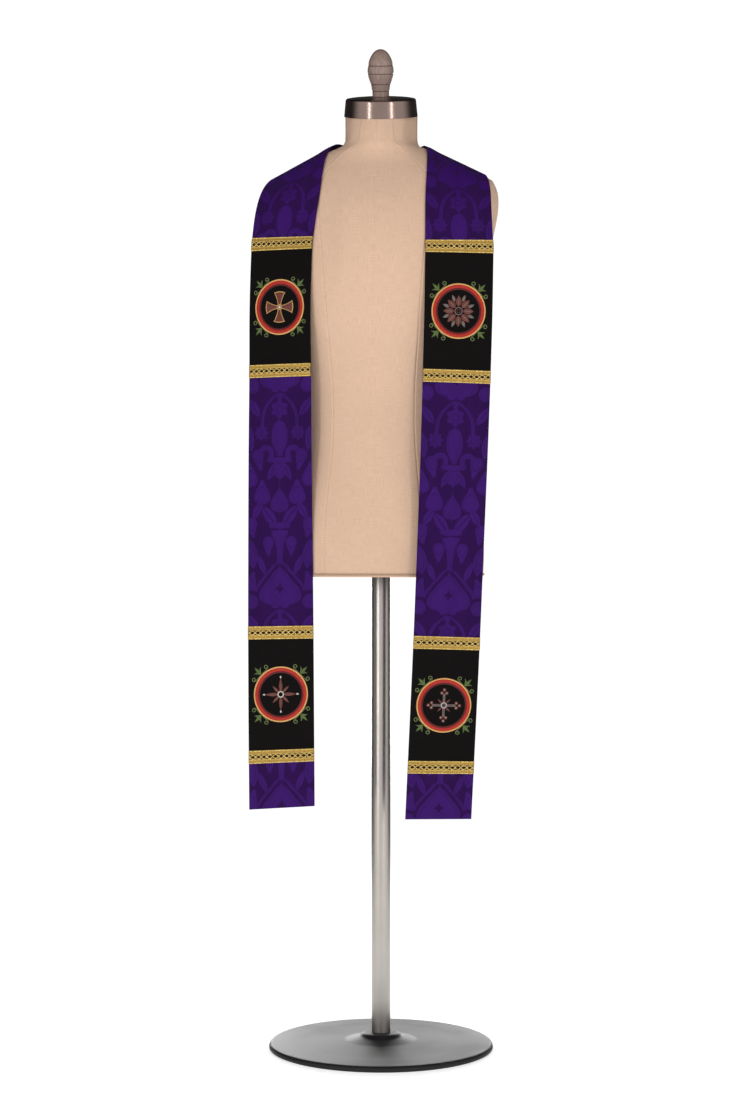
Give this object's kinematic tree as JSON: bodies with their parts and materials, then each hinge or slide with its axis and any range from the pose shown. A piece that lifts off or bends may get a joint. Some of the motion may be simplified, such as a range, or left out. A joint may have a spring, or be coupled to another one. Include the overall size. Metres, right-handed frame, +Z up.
{
  "type": "clerical stole on a dress form",
  "caption": "Purple damask clerical stole with black panels, gold galloons and raised roundels, hanging round the neck of a limbless dress form on a pole and round base.",
  "frame": {"origin": "centre of the round base's underside, where the stand meets the floor", "axes": "+Z up along the pole, -Y towards the front of the dress form, +X towards the wearer's left"},
  "size_m": [0.4134, 0.38, 1.6904],
  "materials": {
    "damask": "purple figured damask, soft sheen, brighter figure on a darker ground",
    "black_cloth": "black figured cloth, near matt, with stitched motifs",
    "galloon": "woven metallic gold braid with a middle row of small black ovals",
    "roundel": "red and gold satin stitch",
    "linen_cover": "tan woven cover, matt",
    "steel": "brushed round the axis",
    "wood": "grey-brown turned wood, satin lacquer",
    "iron": "black powder paint, satin"
  },
  "bodies": {
    "root": {"left_yoke": "damask", "left_upper_panel": "black_cloth", "left_middle": "damask", "left_lower_panel": "black_cloth", "left_end": "damask", "left_galloon_1": "galloon", "left_galloon_2": "galloon", "left_galloon_3": "galloon", "left_galloon_4": "galloon", "left_upper_roundel": "roundel", "left_lower_roundel": "roundel", "right_yoke": "damask", "right_upper_panel": "black_cloth", "right_middle": "damask", "right_lower_panel": "black_cloth", "right_end": "damask", "right_galloon_1": "galloon", "right_galloon_2": "galloon", "right_galloon_3": "galloon", "right_galloon_4": "galloon", "right_upper_roundel": "roundel", "right_lower_roundel": "roundel", "form_body": "linen_cover", "neck_cap": "steel", "pole": "steel", "finial": "wood", "base": "iron"}
  },
  "joints": []
}
